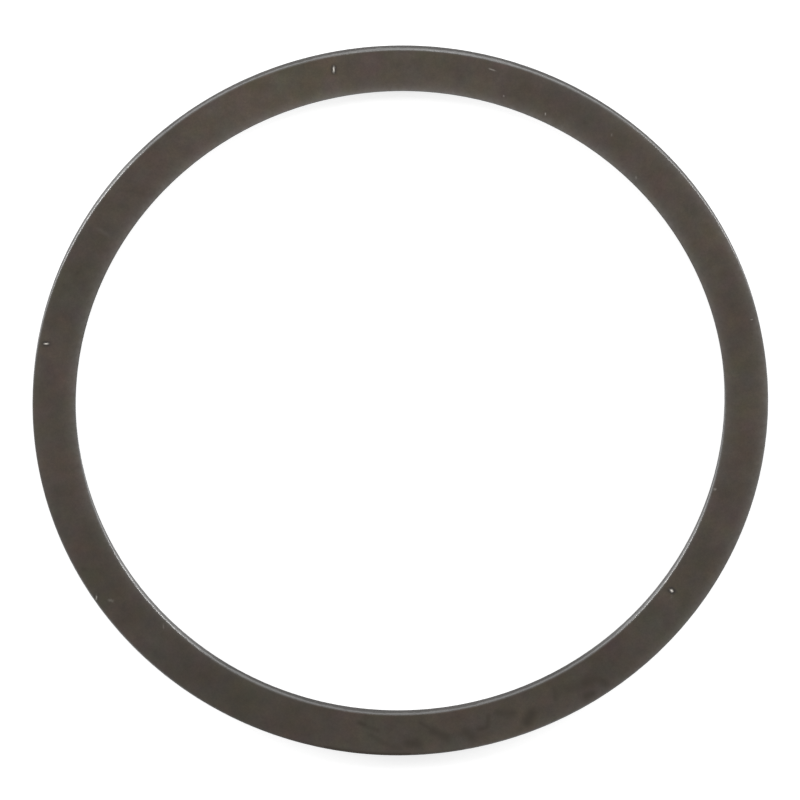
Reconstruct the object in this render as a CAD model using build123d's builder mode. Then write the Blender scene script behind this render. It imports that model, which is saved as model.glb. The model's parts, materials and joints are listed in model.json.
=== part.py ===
"""Shim ring: a thin flat steel ring that fills end play beside a bearing, a gear or a hub.

It is one piece, blanked from sheet and tumbled so that no edge is sharp.
It lies on its back face at z = 0, with the Z axis through the middle of its bore.
Lengths are in millimetres.
"""

import os

from build123d import *

bore_diameter = 60.0
ring_width = 4.0  # of the flat face, from the bore out to the rim
thickness = 1.5

# The punch rounds the front as it goes in, and the burr it leaves behind is tumbled off
front_edge_radius = 0.08
back_edge_radius = 0.05

bore_radius = bore_diameter / 2
rim_radius = bore_radius + ring_width

with BuildPart() as shim_ring:
    # The blank: the rim's circle with the bore punched out of it
    with BuildSketch(Plane.XY) as blank:
        Circle(rim_radius)
        Circle(bore_radius, mode=Mode.SUBTRACT)
    extrude(amount=thickness)

    # The rim and the bore are rounded over at the front face, on top
    front_edges = shim_ring.edges().filter_by(GeomType.CIRCLE).group_by(Axis.Z)[-1]
    fillet(front_edges, radius=front_edge_radius)

    # The same two edges at the back face, underneath
    back_edges = shim_ring.edges().filter_by(GeomType.CIRCLE).group_by(Axis.Z)[0]
    fillet(back_edges, radius=back_edge_radius)

shim_ring.part.label = "shim_ring"

os.makedirs("parts", exist_ok=True)
export_step(shim_ring.part, "parts/shim_ring.step")
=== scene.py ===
"""A shim ring: one blanked and tumbled steel ring with a dark oxide finish, lying on a pale floor.

Lengths are in metres. Places around the ring are angles from +X, counted towards +Y.
"""

import json
import math

import bpy
import numpy as np
from mathutils import Matrix, Vector


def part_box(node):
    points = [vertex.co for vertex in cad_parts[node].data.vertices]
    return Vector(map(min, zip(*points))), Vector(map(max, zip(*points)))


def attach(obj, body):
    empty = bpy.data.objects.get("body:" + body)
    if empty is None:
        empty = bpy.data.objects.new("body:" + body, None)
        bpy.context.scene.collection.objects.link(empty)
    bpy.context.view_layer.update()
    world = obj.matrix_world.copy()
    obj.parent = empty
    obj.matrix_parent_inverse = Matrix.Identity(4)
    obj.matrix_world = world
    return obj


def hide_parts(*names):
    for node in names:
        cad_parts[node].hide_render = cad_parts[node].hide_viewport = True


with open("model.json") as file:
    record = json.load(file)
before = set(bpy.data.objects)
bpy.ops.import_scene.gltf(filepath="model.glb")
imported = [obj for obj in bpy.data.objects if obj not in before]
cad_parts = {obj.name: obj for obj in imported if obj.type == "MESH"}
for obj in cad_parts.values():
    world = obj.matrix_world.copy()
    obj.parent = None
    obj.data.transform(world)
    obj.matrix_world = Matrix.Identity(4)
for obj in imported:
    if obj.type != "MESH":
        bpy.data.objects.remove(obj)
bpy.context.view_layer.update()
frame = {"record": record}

# ---------------------------------------------------------------------------------------------
# Ring
# The real one is blanked from steel strip in one stroke of a punch, so its walls are sheared and
# its front edges drawn round. Tumbling takes off the burr and the finish is a dark brown oxide.
# It is one piece, and so is this: one closed section carried once round the axis.
# ---------------------------------------------------------------------------------------------

mm = 0.001
micron = 0.000001
mounts = {mount["name"]: mount["dims"] for mount in frame["record"]["mounts"]}
lowest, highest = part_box("shim_ring")
bore_radius = mounts["bore"]["r_mm"] * mm
rim_radius = mounts["outside"]["r_mm"] * mm
thickness = highest.z - lowest.z
front_edge = 0.08 * mm
back_edge = thickness - mounts["bore"]["length_mm"] * mm - front_edge
ring_width = rim_radius - bore_radius
middle_radius = (bore_radius + rim_radius) / 2

# Handling has nicked the front face. Each nick has its place as degrees and as millimetres from
# the bore, a length and a width in millimetres, a lean in degrees from the ring's radius, and
# how far it cuts through the oxide, where 1 is bright steel.
nicks = np.array([
    (324.3, 1.00, 0.31, 0.16, -12, 1.0),
    (169.4, 3.24, 0.34, 0.11, 8, 0.88),
    (100.8, 2.70, 0.51, 0.115, -12, 0.84),
    (213.1, 3.65, 0.40, 0.09, 57, 0.42),
    (64.4, 0.80, 0.20, 0.09, 20, 0.27),
    (75.3, 3.10, 0.60, 0.11, 85, 0.18),
    (13.9, 3.40, 0.20, 0.08, 0, 0.22),
    (344.1, 0.30, 0.20, 0.18, 0, 0.17),
    (53.0, 2.25, 0.25, 0.14, 25, 0.06),
    (72.2, 1.00, 0.14, 0.12, 0, 0.13),
    (45.0, 0.65, 0.24, 0.16, 60, 0.08),
    (214.8, 2.75, 0.50, 0.22, -45, 0.08),
    (224.0, 0.60, 0.45, 0.12, 50, 0.07),
    (323.4, 1.36, 0.50, 0.12, -54, 0.04),
    (148.5, 2.10, 1.60, 0.35, 0, 0.02),
])
nick_angle, nick_lean = np.radians(nicks[:, 0]), np.radians(nicks[:, 4])
nick_radius = bore_radius + nicks[:, 1] * mm
nick_length, nick_width, nick_bared = nicks[:, 2] * mm, nicks[:, 3] * mm, nicks[:, 5]
nick_depth = 20 * micron
faint_scuff = 0.05  # what cuts no further than this is only a scuff

# Painted shade: the face is darkened round a nick, for the shade of its steep sides, the more the
# further the nick cuts through the oxide
nick_shade_reach, nick_shade_strength, nick_shade_power = 0.20 * mm, 1.2, 1.5

# Oily marks left by fingers on the front of the ring, and painted shade along the rim: strokes
# from one place to another, each place as degrees and millimetres from the bore, then the width in
# millimetres and the darkness.
marks = np.array([
    (271.4, 2.80, 272.6, 2.85, 0.95, 0.85),
    (273.4, 0.85, 275.3, 1.60, 0.40, 0.7),
    (275.3, 1.70, 277.6, 2.50, 0.90, 0.8),
    (262.9, 1.00, 263.9, 1.15, 0.45, 0.9),
    (263.9, 1.20, 266.2, 1.60, 0.40, 0.5),
    (265.0, 2.10, 267.8, 2.90, 0.55, 0.45),
    (267.8, 3.00, 269.8, 3.30, 0.60, 0.35),
    (281.0, 2.40, 281.5, 2.85, 1.05, 0.75),
    (283.0, 2.30, 284.4, 2.30, 0.45, 0.7),
    (284.6, 2.20, 285.2, 1.20, 0.45, 0.7),
    (286.8, 1.20, 289.4, 1.70, 0.80, 0.6),
    (289.4, 3.45, 290.6, 3.10, 0.60, 0.4),
    (290.9, 2.95, 292.2, 2.35, 1.15, 0.95),
    (296.8, 2.00, 297.4, 1.05, 0.45, 0.6),
    (299.6, 1.70, 301.0, 1.95, 1.00, 0.5),
    (301.4, 3.20, 302.4, 3.25, 0.75, 0.8),
    (302.2, 2.00, 304.0, 2.15, 1.10, 0.7),
    (304.6, 2.40, 305.1, 3.10, 0.80, 0.65),
    # Painted shade: a dark line along the rim at the bottom of the ring, where its rounded edge faces
    # away from the lamps
    (252.0, 3.84, 258.0, 3.82, 0.16, 0.5),
    (258.0, 3.82, 271.5, 3.82, 0.23, 1.3),
    (271.5, 3.82, 280.0, 3.84, 0.16, 0.5),
    # Small dark spots elsewhere on the ring
    (57.7, 1.80, 57.9, 1.80, 0.25, 0.5),
    (156.4, 2.40, 156.6, 2.40, 0.25, 0.6),
    (208.0, 3.30, 208.3, 3.20, 0.25, 0.5),
    (64.0, 1.25, 64.2, 1.35, 0.30, 0.3),
    (214.0, 1.90, 214.6, 1.80, 0.45, 0.3),
])

# A dent where something struck the bore's front edge, beside the largest nick
dent_angle = math.radians(325.0)
dent_width, dent_depth = 0.30 * mm, 35 * micron

# Sizes of the sheared walls. The part cut smooth before the steel tears lies next to the front,
# and the line where it tears wanders, frays and is soft: all four are shares of the wall.
burnished_share = 0.35
tear_wander, tear_fray, tear_softness = 0.06, 0.03, 0.08
burnished_waver = 1.5 * micron
torn_setback = 8 * micron
torn_ridges = 5 * micron

# Sizes of what tumbling leaves: dents in the edges, and edges and faces that aren't quite true
edge_wander = 3 * micron
face_wander = 4 * micron
edge_dents = 90
edge_dent_widths = (0.15, 0.5)  # millimetres, from the narrowest to the widest
edge_dent_depths = (2, 9)  # microns

columns = 1200
full_turn = 2 * math.pi
chance = np.random.default_rng(34)


def run(start, end, outwards, steps):
    """A straight run of the section: points evenly spaced from start to end, the end left out."""
    share = np.arange(steps)[:, None] / steps
    points = np.array(start) + share * (np.array(end) - np.array(start))
    return np.hstack([points, np.tile(outwards, (steps, 1))])


def corner(centre, radius, first_degree, steps):
    """A rounded corner: the centre plus radius times (cosine, sine) of an angle that falls by a
    quarter turn from the first one, the end left out. The outward direction is (cosine, sine)."""
    angle = np.radians(first_degree - 90 * np.arange(steps) / steps)
    outwards = np.stack([np.cos(angle), np.sin(angle)], axis=1)
    return np.hstack([np.array(centre) + radius * outwards, outwards])


def turn_from(angle, place):
    """The angle from a place round the ring to another, between minus and plus half a turn."""
    return (angle - place + math.pi) % full_turn - math.pi


def waves(angle, fewest, most, count):
    """A wavy line that closes on itself round the ring: the sum of cosines with whole numbers of
    waves a turn and random phases, over the root of half their count, so that it varies by 1."""
    numbers = chance.integers(fewest, most + 1, count)
    phases = chance.uniform(0, full_turn, count)
    return np.cos(angle[..., None] * numbers + phases).sum(axis=-1) / math.sqrt(count / 2)


def gather(offsets, reach, strength):
    """How far grid lines move towards places so that they crowd there: for each offset from a
    place, minus the offset times strength times a Gaussian of offset over reach."""
    return -strength * offsets * np.exp(-0.5 * (offsets / reach) ** 2)


def ease(value, start, end):
    """0 before start, 1 after end, and between them three times the share squared less twice
    its cube."""
    share = np.clip((value - start) / (end - start), 0, 1)
    return share * share * (3 - 2 * share)


def stretch(angle, start, full, waning, end):
    """A stretch of the ring, in degrees: an ease from start to full, less one from waning to
    end."""
    degrees = np.degrees(angle)
    return ease(degrees, start, full) - ease(degrees, waning, end)


# Once round the section as radius, height and the outward direction, clockwise from the bore
face_rows, wall_rows, back_rows = 30, 9, 8
front_edge_rows, back_edge_rows = 7, 5
section = np.vstack([
    run((bore_radius + front_edge, thickness), (rim_radius - front_edge, thickness), (0, 1),
        face_rows),
    corner((rim_radius - front_edge, thickness - front_edge), front_edge, 90, front_edge_rows),
    run((rim_radius, thickness - front_edge), (rim_radius, back_edge), (1, 0), wall_rows),
    corner((rim_radius - back_edge, back_edge), back_edge, 0, back_edge_rows),
    run((rim_radius - back_edge, 0), (bore_radius + back_edge, 0), (0, -1), back_rows),
    corner((bore_radius + back_edge, back_edge), back_edge, 270, back_edge_rows),
    run((bore_radius, back_edge), (bore_radius, thickness - front_edge), (-1, 0), wall_rows),
    corner((bore_radius + front_edge, thickness - front_edge), front_edge, 180, front_edge_rows),
])
radius, height, out_radius, out_height = (section[:, k][None, :] for k in range(4))

# Columns crowd together at the nicks, except at the two faint scuffs, because one of them lies so
# close to a nick that columns would cross. The rows of the front face crowd where they pass a
# nick, for a short way to each side of it.
column_reach, column_pull = 0.6 * mm, 0.85
row_reach, row_pull, row_stretch = 0.4 * mm, 0.7, 0.8 * mm
angle = np.arange(columns) * full_turn / columns
to_nicks = turn_from(angle[:, None], nick_angle[nick_bared > faint_scuff])
angle = angle + gather(to_nicks, column_reach / middle_radius, column_pull).sum(axis=1)
angle = angle[:, None]
beside_nicks = turn_from(angle, nick_angle) * nick_radius
on_front = (out_height == 1) & (height == thickness)
across_face = np.clip((radius - bore_radius - front_edge) / (ring_width - 2 * front_edge), 0, 1)
free_to_slide = on_front * (1 - (2 * across_face - 1) ** 8)
near_nicks = np.exp(-0.5 * (beside_nicks / row_stretch) ** 2)
pulled = gather(radius[..., None] - nick_radius, row_reach, row_pull)
slide = (pulled * near_nicks[:, None, :]).sum(axis=-1)
radius = radius + slide * free_to_slide

# Marks on the front face, each from 0 to 1. A nick is a narrow groove: the fourth powers of the
# way along it over its half length and of the way across it over its half width, through a
# falling exponential. A finger mark, and the painted shade along the rim, is a stroke with a soft
# edge.
beside = turn_from(angle[..., None], nick_angle) * radius[..., None]
outward = radius[..., None] - nick_radius
along = outward * np.cos(nick_lean) + beside * np.sin(nick_lean)
across = beside * np.cos(nick_lean) - outward * np.sin(nick_lean)
grooves = np.exp(-(2 * along / nick_length) ** 4 - (2 * across / nick_width) ** 4)
bared = (grooves * nick_bared).max(axis=-1) * on_front
# Painted shade round each nick, for the shade of its steep sides
nick_shades = np.exp(-(along / (nick_length / 2 + nick_shade_reach)) ** 4
                 - (across / (nick_width / 2 + nick_shade_reach)) ** 4)
nick_shade = nick_shade_strength * (nick_shades * nick_bared ** nick_shade_power).max(axis=-1)
nick_shade = np.minimum(nick_shade, 1) * on_front

start_turn, end_turn = np.radians(marks[:, 0]), np.radians(marks[:, 2])
start_out, end_out = marks[:, 1] * mm, marks[:, 3] * mm
mark_half_width, mark_darkness = marks[:, 4] * mm / 2, marks[:, 5]
place_along = turn_from(angle[..., None], start_turn) * middle_radius
place_out = radius[..., None] - bore_radius - start_out
stroke_along = (end_turn - start_turn) * middle_radius
stroke_out = end_out - start_out
share = (place_along * stroke_along + place_out * stroke_out) / (stroke_along ** 2 + stroke_out ** 2)
share = np.clip(share, 0, 1)
from_stroke = np.hypot(place_along - share * stroke_along, place_out - share * stroke_out)
oil_and_shade = (mark_darkness * np.exp(-(from_stroke / mark_half_width) ** 2)).max(axis=-1)
facing_up = out_height > 0.05
oil_and_shade = np.minimum(oil_and_shade, 1) * facing_up

# The sheared walls, with the steeper part of each rounded edge: smooth below the front edge, then
# torn, set back and ridged down to the back
on_wall = (np.abs(out_radius) > 0.5) * 1.0
below_front = (thickness - front_edge - height) / (thickness - front_edge - back_edge)
tear_line = burnished_share + tear_wander * waves(angle, 9, 70, 12)
tear_line = tear_line + tear_fray * waves(angle, 90, 260, 8)
torn = on_wall * ease(below_front, tear_line - tear_softness, tear_line + tear_softness)
ridges = 0.5 + 0.3 * waves(angle, 60, 300, 24)
wall_relief = torn * (torn_setback * below_front + torn_ridges * np.clip(ridges, 0, 1))
wall_relief = wall_relief + on_wall * burnished_waver * (1 + waves(angle, 100, 300, 12))

# The rounded edges wander a little, and small dents from tumbling break them up. This is most
# halfway round an edge, and nothing on the faces and walls.
slanting = np.abs(out_radius * out_height) * 2
dent_places = chance.uniform(0, full_turn, edge_dents)
dent_widths = chance.uniform(*edge_dent_widths, edge_dents) * mm
dent_depths = chance.uniform(*edge_dent_depths, edge_dents) * micron
on_bore_edge = chance.random(edge_dents) < 0.5
from_dents = turn_from(angle, dent_places) * middle_radius
small_dents = dent_depths * np.exp(-(2 * from_dents / dent_widths) ** 2)
bore_side = radius < middle_radius
small_dents = np.where(bore_side, (small_dents * on_bore_edge).sum(axis=1, keepdims=True),
                       (small_dents * ~on_bore_edge).sum(axis=1, keepdims=True))
struck = np.exp(-(2 * turn_from(angle, dent_angle) * bore_radius / dent_width) ** 2)
struck = struck * dent_depth * bore_side * (height > thickness / 2)
edge_relief = slanting * (edge_wander * (1 + 0.5 * waves(angle, 8, 90, 20)) + small_dents + struck)

# The faces are flat to a few microns
face_relief = np.abs(out_height) * face_wander * (0.5 + 0.25 * waves(angle, 2, 24, 8))
relief = np.maximum(face_relief, 0) + wall_relief + np.maximum(edge_relief, 0) + bared * nick_depth

# Each point lies inside the section's own outline by the relief there
reach = radius - out_radius * relief
vertices = np.stack([reach * np.cos(angle), reach * np.sin(angle),
                     height - out_height * relief], axis=-1).reshape(-1, 3)

rows = section.shape[0]
column, row = np.meshgrid(np.arange(columns), np.arange(rows), indexing="ij")
next_column, next_row = (column + 1) % columns, (row + 1) % rows
quads = np.stack([
    column * rows + row,
    column * rows + next_row,
    next_column * rows + next_row,
    next_column * rows + row,
], axis=-1).reshape(-1, 4)

ring_mesh = bpy.data.meshes.new("shim_ring_surface")
ring_mesh.vertices.add(len(vertices))
ring_mesh.vertices.foreach_set("co", vertices.astype(np.float32).ravel())
ring_mesh.loops.add(quads.size)
ring_mesh.loops.foreach_set("vertex_index", quads.astype(np.int32).ravel())
ring_mesh.polygons.add(len(quads))
ring_mesh.polygons.foreach_set("loop_start", np.arange(0, quads.size, 4, dtype=np.int32))
ring_mesh.polygons.foreach_set("use_smooth", np.ones(len(quads), bool))
ring_mesh.update(calc_edges=True)

# Tumbling rubs the front edges down to a dull sheen of steel, more on some stretches than on
# others, and thins the oxide for half a millimetre in from them on the face. Both carry painted
# light as well: painted highlight on the rubbed stretches, and painted glare of the bright
# background on the thinned oxide. Distances from the edges run across the face and down the
# walls, in millimetres.
from_bore_edge = np.clip(radius - bore_radius - front_edge, 0, None)
from_rim_edge = np.clip(rim_radius - front_edge - radius, 0, None)
down_wall = np.clip(thickness - front_edge - height, 0, None)
edge_distance = (np.where(on_front, np.minimum(from_bore_edge, from_rim_edge), 0) + down_wall) / mm
# The thinned oxide and its painted glare are most beside the bore at 107 degrees, and beside the rim
# near 0 degrees.
bore_wear_and_glare = 0.75 + 0.8 * np.cos(angle - math.radians(107))
rim_wear_and_glare = 0.4 + 0.4 * np.cos(angle) + 0.3 * np.cos(2 * angle) - 0.1 * np.sin(angle)
face_wear_and_glare = np.clip(np.where(bore_side, np.minimum(bore_wear_and_glare, 1), rim_wear_and_glare), 0, None) * on_front

# The bore's front edge is rubbed most at three places and the rim's at five, and the rim's less
# on two stretches, each given by its middle and half its length in degrees. These stretches are
# set where the side lamps light the edges, so the rubbed steel is partly painted highlight.
bore_rub_and_highlight = 0.34 + 0.22 * np.cos(3 * (angle - math.radians(217)))
rim_rub_and_highlight = 0.55 + 0.35 * np.cos(5 * (angle - math.radians(150)))
for least_rub_and_highlight, half_stretch in ((10, 22), (159, 12)):
    away = turn_from(angle, math.radians(least_rub_and_highlight)) / math.radians(half_stretch)
    rim_rub_and_highlight = rim_rub_and_highlight * (1 - 0.6 * np.exp(-away ** 2))
edge_rub_and_highlight = np.where(bore_side, bore_rub_and_highlight, rim_rub_and_highlight)

# The walls are rubbed too, on two stretches of the bore and one of the rim, and less where they
# are torn. These stretches are painted highlight where the side lamps light the walls, as well
# as rubbed steel.
bore_wall_rub_and_highlight = 0.62 * stretch(angle, 185, 212, 226, 240) + 0.52 * stretch(angle, 300, 314, 330, 356)
rim_wall_rub_and_highlight = 0.50 * stretch(angle, 129, 139, 144, 158)
spared_by_tearing = 0.4
wall_rub_and_highlight = np.where(bore_side, bore_wall_rub_and_highlight, rim_wall_rub_and_highlight) * on_wall
wall_rub_and_highlight = wall_rub_and_highlight * (1 - spared_by_tearing * torn)

# The oxide is paler on one broad stretch of the ring, towards its top, and darker on two that follow
# it:
# partly its own uneven tone, and partly painted light and shade for the lamps lighting the top of
# the ring more than the bottom. Each has its middle and half its length in degrees.
tone_and_painted_light = 1.0
for middle, half_stretch, change in ((115, 25, 0.20), (155, 20, -0.18), (230, 35, -0.15)):
    away = turn_from(angle, math.radians(middle)) / math.radians(half_stretch)
    tone_and_painted_light = tone_and_painted_light + change * np.exp(-away ** 2)


def store(mesh, name, values):
    """Keeps one number for each point of the mesh under a name that the material can read."""
    attribute = mesh.attributes.new(name, "FLOAT", "POINT")
    whole = np.broadcast_to(values, (columns, rows)).astype(np.float32)
    attribute.data.foreach_set("value", whole.ravel())


store(ring_mesh, "edge_distance", edge_distance)
store(ring_mesh, "face_wear_and_glare", face_wear_and_glare)
store(ring_mesh, "edge_rub_and_highlight", edge_rub_and_highlight)
store(ring_mesh, "bared", bared)
store(ring_mesh, "nick_shade", nick_shade)
store(ring_mesh, "oil_and_shade", oil_and_shade)
store(ring_mesh, "wall_rub_and_highlight", wall_rub_and_highlight)
store(ring_mesh, "on_wall", on_wall)
store(ring_mesh, "torn", torn)
store(ring_mesh, "tone_and_painted_light", tone_and_painted_light)

ring = bpy.data.objects.new("ring", ring_mesh)
bpy.context.scene.collection.objects.link(ring)


def add(tree, kind, inputs=(), **settings):
    """Adds a shader node with its settings. Each input is a value or another node's output."""
    node = tree.nodes.new("ShaderNode" + kind)
    for name, value in settings.items():
        setattr(node, name, value)
    for name, value in dict(inputs).items():
        if isinstance(value, bpy.types.NodeSocket):
            tree.links.new(value, node.inputs[name])
        else:
            node.inputs[name].default_value = value
    return node


def calculate(tree, operation, *values, **settings):
    """One step of arithmetic on values that change over the surface."""
    return add(tree, "Math", enumerate(values), operation=operation, **settings).outputs[0]


def blend(tree, share, first, second):
    """The first colour where the share is 0 and the second where it is 1."""
    return add(tree, "Mix", {0: share, 6: first, 7: second}, data_type="RGBA").outputs[2]


def stored(tree, name):
    """What the mesh keeps for each point under that name."""
    return add(tree, "Attribute", attribute_name=name).outputs["Fac"]


def patches(tree, place, spacing, detail, seed):
    """Soft patches about spacing millimetres apart, spread from 0 to 1."""
    texture = add(tree, "TexNoise", {"Vector": place, "W": seed, "Scale": 1 / spacing,
                                     "Detail": detail, "Roughness": 0.55},
                  noise_dimensions="4D")
    return add(tree, "MapRange", {0: texture.outputs["Fac"], 1: 0.3, 2: 0.7}).outputs[0]


def fading(tree, distance, reach):
    """1 at no distance, and less further off: the exponential of minus distance over reach."""
    return calculate(tree, "EXPONENT", calculate(tree, "DIVIDE", distance, -reach))


def swing(tree, share, amount):
    """A factor that goes from 1 less the amount to 1 and the amount as the share goes to 1."""
    return calculate(tree, "MULTIPLY_ADD", share, 2 * amount, 1 - amount)


rust = (0.0583, 0.0338, 0.0285, 1)
moss = (0.0407, 0.0430, 0.0285, 1)
umber = (0.0495, 0.0384, 0.0195, 1)
slate = (0.0495, 0.0384, 0.0375, 1)
wall_oxide = (0.0408, 0.0400, 0.0388, 1)
# Thin oxide, which also carries the painted glare beside the edges
thin_oxide_and_glare = (0.1650, 0.1560, 0.1460, 1)
# Dull steel, which also serves as painted sheen on the rubbed stretches
dull_steel_and_sheen = (0.1930, 0.1910, 0.1880, 1)
# Finger oil, also the colour of the painted shade along the rim
finger_oil_and_shade = (0.0262, 0.0196, 0.0122, 1)
# The black of the painted shade round the nicks
nick_shade_black = (0.0120, 0.0100, 0.0080, 1)
bright_steel = (0.86, 0.81, 0.74, 1)

oxide = bpy.data.materials.new("dark oxide on steel")
oxide.use_nodes = True
tree = oxide.node_tree
tree.nodes.clear()
coordinates = add(tree, "TexCoord").outputs["Object"]
place = add(tree, "VectorMath", {0: coordinates, "Scale": 1 / mm}, operation="SCALE").outputs[0]
edge_distance, face_wear_and_glare, edge_rub_and_highlight, wall_rub_and_highlight, on_wall, torn, oil_and_shade, nick_shade, bared, tone_and_painted_light = (
    stored(tree, name) for name in ("edge_distance", "face_wear_and_glare", "edge_rub_and_highlight", "wall_rub_and_highlight",
                                    "on_wall", "torn", "oil_and_shade", "nick_shade", "bared", "tone_and_painted_light"))

# The oxide drifts in hue between rust and moss and between umber and slate, and in depth
grain = patches(tree, place, spacing=0.16, detail=2, seed=9.0)
warmth = blend(tree, patches(tree, place, spacing=2.6, detail=4, seed=1.0), rust, moss)
coolness = blend(tree, patches(tree, place, spacing=2.2, detail=4, seed=7.0), umber, slate)
colour = blend(tree, 0.5, warmth, coolness)
clouds = patches(tree, place, spacing=6.0, detail=2, seed=3.0)
mottle = patches(tree, place, spacing=1.4, detail=3, seed=5.0)
# The depth starts from the stored tone, which holds painted light and shade as well as the oxide's
# own uneven tone
depth = tone_and_painted_light
for pattern, amount in ((clouds, 0.13), (mottle, 0.15), (grain, 0.12)):
    depth = calculate(tree, "MULTIPLY", depth, swing(tree, pattern, amount))
wall_share = 0.85
colour = blend(tree, calculate(tree, "MULTIPLY", on_wall, wall_share), colour, wall_oxide)
colour = add(tree, "VectorMath", {0: colour, "Scale": depth}, operation="SCALE").outputs[0]

# It is worn thin along the edges, with painted glare there, and rubbed to steel with painted
# highlight on the edges. It is darkened by fingers, and by painted shade round the nicks and along
# the rim, and cut through to steel in the nicks. The reaches are millimetres from an edge.
thinned_and_glare_share, thinned_and_glare_reach = 0.50, 0.40
rub_and_highlight_reach = 0.035
oil_and_shade_share = 0.95
blotches = swing(tree, patches(tree, place, spacing=0.5, detail=2, seed=2.0), 0.3)
# Painted glare: thin oxide brightened beside the edges where the bright background meets the face
thinned_and_glare = calculate(tree, "MULTIPLY", face_wear_and_glare, fading(tree, edge_distance, thinned_and_glare_reach))
thinned_and_glare = calculate(tree, "MULTIPLY", thinned_and_glare, calculate(tree, "MULTIPLY", blotches, thinned_and_glare_share))
colour = blend(tree, thinned_and_glare, colour, thin_oxide_and_glare)
# Rubbed steel along the edges and down the walls, partly painted highlight where the side lamps light
# them
rubbed_and_highlight = calculate(tree, "MULTIPLY", edge_rub_and_highlight, fading(tree, edge_distance, rub_and_highlight_reach))
rubbed_and_highlight = calculate(tree, "MAXIMUM", rubbed_and_highlight, wall_rub_and_highlight)
rubbed_and_highlight = calculate(tree, "MULTIPLY", rubbed_and_highlight, blotches)
rubbed_and_highlight = calculate(tree, "MULTIPLY", rubbed_and_highlight, calculate(tree, "SUBTRACT", 1.0, oil_and_shade))
colour = blend(tree, rubbed_and_highlight, colour, dull_steel_and_sheen)
# Finger oil, and the painted shade along the rim
colour = blend(tree, calculate(tree, "MULTIPLY", oil_and_shade, oil_and_shade_share), colour, finger_oil_and_shade)
# Painted shade round the nicks
colour = blend(tree, nick_shade, colour, nick_shade_black)
colour = blend(tree, bared, colour, bright_steel)

# The front edges are burnished, and so is the top of each wall down to where the steel tore
oxide_roughness = 0.42
torn_roughens, burnish_smooths, oil_smooths = 0.42, 0.18, 0.05
burnish_reach = 0.10
burnish = fading(tree, edge_distance, burnish_reach)
roughness = calculate(tree, "MULTIPLY_ADD", burnish, -burnish_smooths, oxide_roughness)
roughness = calculate(tree, "MULTIPLY_ADD", torn, torn_roughens, roughness)
roughness = calculate(tree, "MULTIPLY_ADD", oil_and_shade, -oil_smooths, roughness)
roughness = calculate(tree, "MULTIPLY", roughness, swing(tree, grain, 0.06))

# Relief too fine for the mesh, in microns: the grain of the finish, and scores where the walls
# sheared, which run from front to back
score_depth, grain_depth = 5.0, 0.8
drawn_out = add(tree, "Mapping", {"Vector": place, "Scale": (1, 1, 0.12)}).outputs[0]
scores = patches(tree, drawn_out, spacing=0.12, detail=3, seed=4.0)
relief_height = calculate(tree, "MULTIPLY", calculate(tree, "MULTIPLY", scores, torn), score_depth)
relief_height = calculate(tree, "MULTIPLY_ADD", grain, grain_depth, relief_height)
bump = add(tree, "Bump", {"Height": relief_height, "Distance": micron})

# Bared steel is metal all through, and rubbed steel by half, because oxide is left between
rubbed_metal = 0.5
metallic = calculate(tree, "MAXIMUM", bared, calculate(tree, "MULTIPLY", rubbed_and_highlight, rubbed_metal))
shader = add(tree, "BsdfPrincipled", {"Base Color": colour, "Roughness": roughness,
                                      "Metallic": metallic, "Normal": bump.outputs[0],
                                      "Specular IOR Level": 0.35})
add(tree, "OutputMaterial", {"Surface": shader.outputs[0]})
ring_mesh.materials.append(oxide)

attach(ring, "root")
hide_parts("shim_ring")

# ---------------------------------------------------------------------------------------------
# Floor
# A sheet of plain white paper. What the camera and reflections see of it is lifted to white, and
# the ring's soft shadow stays.
# ---------------------------------------------------------------------------------------------

floor_half = 3.0
paper_grey = (0.55, 0.55, 0.55, 1)
paper_lift = 0.72  # what brings the paper to white where it is seen directly
floor_mesh = bpy.data.meshes.new("floor")
floor_mesh.from_pydata(
    [(-floor_half, -floor_half, 0), (floor_half, -floor_half, 0),
     (floor_half, floor_half, 0), (-floor_half, floor_half, 0)],
    [], [(0, 1, 2, 3)])
floor = bpy.data.objects.new("floor", floor_mesh)
bpy.context.scene.collection.objects.link(floor)


def seen_directly(tree):
    """1 for the rays of the camera and of reflections and glass, and 0 for diffuse light."""
    rays = add(tree, "LightPath").outputs
    direct = calculate(tree, "MAXIMUM", rays["Is Camera Ray"], rays["Is Glossy Ray"])
    return calculate(tree, "MAXIMUM", direct, rays["Is Transmission Ray"])


paper = bpy.data.materials.new("white paper")
paper.use_nodes = True
tree = paper.node_tree
tree.nodes.clear()
matt = add(tree, "BsdfDiffuse", {"Color": paper_grey})
lift = calculate(tree, "MULTIPLY", seen_directly(tree), paper_lift)
glow = add(tree, "Emission", {"Strength": lift})
both = add(tree, "AddShader", {0: matt.outputs[0], 1: glow.outputs[0]})
add(tree, "OutputMaterial", {"Surface": both.outputs[0]})
floor_mesh.materials.append(paper)

# ---------------------------------------------------------------------------------------------
# Light
# A soft white room, with a softbox to each side and a weaker one behind the ring. The two at the
# sides draw the bright lines along its rounded edges.
# ---------------------------------------------------------------------------------------------

room_light, backdrop_white = 0.36, 1.0
world = bpy.data.worlds.new("studio")
bpy.context.scene.world = world
world.use_nodes = True
tree = world.node_tree
tree.nodes.clear()
room = add(tree, "Background", {"Strength": room_light})
backdrop = add(tree, "Background", {"Strength": backdrop_white})
pick = add(tree, "MixShader", {0: seen_directly(tree), 1: room.outputs[0], 2: backdrop.outputs[0]})
add(tree, "OutputWorld", {"Surface": pick.outputs[0]})


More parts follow.
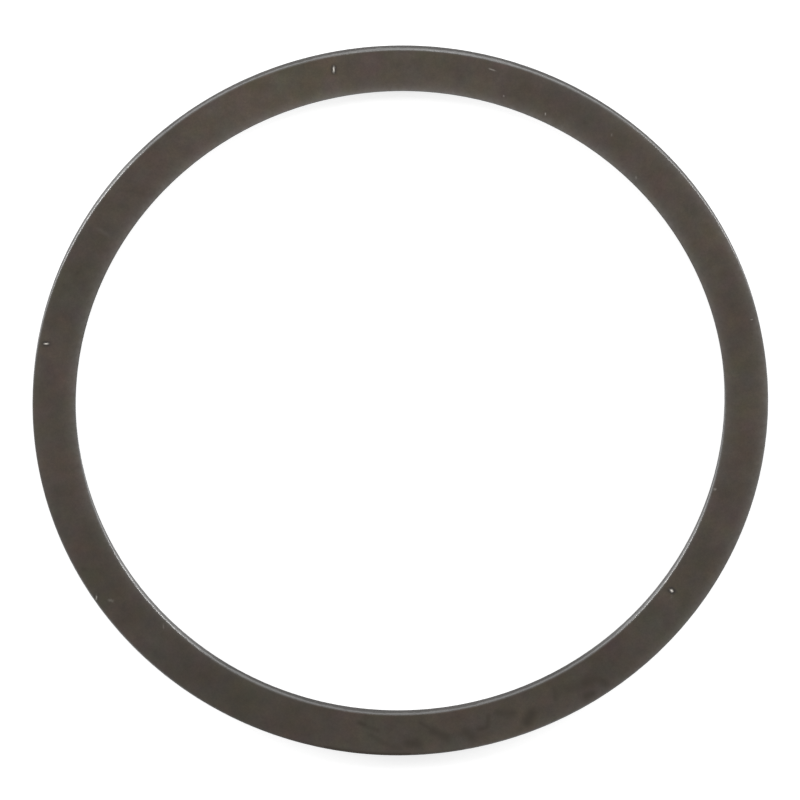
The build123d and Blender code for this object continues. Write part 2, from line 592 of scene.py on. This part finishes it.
def softbox(name, azimuth, elevation, distance, width, tall, radiance):
    """A lamp that faces the ring from a distance, at an azimuth and an elevation in degrees. Its
    power is its radiance times pi times its area."""
    level, rise = math.radians(azimuth), math.radians(elevation)
    direction = Vector((math.cos(level) * math.cos(rise), math.sin(level) * math.cos(rise),
                        math.sin(rise)))
    light = bpy.data.lights.new(name, "AREA")
    light.shape, light.size, light.size_y = "RECTANGLE", width, tall
    light.energy = radiance * math.pi * width * tall
    lamp = bpy.data.objects.new(name, light)
    lamp.location = distance * direction
    lamp.rotation_mode = "QUATERNION"
    lamp.rotation_quaternion = direction.to_track_quat("Z", "Y")
    bpy.context.scene.collection.objects.link(lamp)


for name, azimuth in (("right softbox", 24), ("left softbox", 160)):
    softbox(name, azimuth, elevation=14, distance=0.35, width=0.16, tall=0.12, radiance=26.0)
softbox("back softbox", 90, elevation=40, distance=0.20, width=0.08, tall=0.08, radiance=4.5)

# ---------------------------------------------------------------------------------------------
# Camera
# A long lens that looks down on the ring from beyond it.
# ---------------------------------------------------------------------------------------------

lean, lean_side = math.radians(16.3), math.radians(94.3)
camera_distance = 1.24
frame_width = 0.07392
aim_up = 0.00048
aim_right = -0.00005

towards_camera = Vector((math.sin(lean) * math.cos(lean_side),
                         math.sin(lean) * math.sin(lean_side), math.cos(lean)))
picture_up = (Vector((0, 1, 0)) - towards_camera * towards_camera.y).normalized()
picture_right = picture_up.cross(towards_camera)
aim = Vector((0, 0, thickness)) + aim_up * picture_up + aim_right * picture_right
lens = bpy.data.cameras.new("camera")
lens.sensor_width = 36
lens.lens = lens.sensor_width * camera_distance / frame_width
lens.clip_start, lens.clip_end = 0.1, 20
camera = bpy.data.objects.new("camera", lens)
camera_place = aim + camera_distance * towards_camera
turn = Matrix((picture_right, picture_up, towards_camera)).transposed()
camera.matrix_world = Matrix.Translation(camera_place) @ turn.to_4x4()
bpy.context.scene.collection.objects.link(camera)
bpy.context.scene.camera = camera
bpy.context.scene.view_settings.view_transform = "Standard"
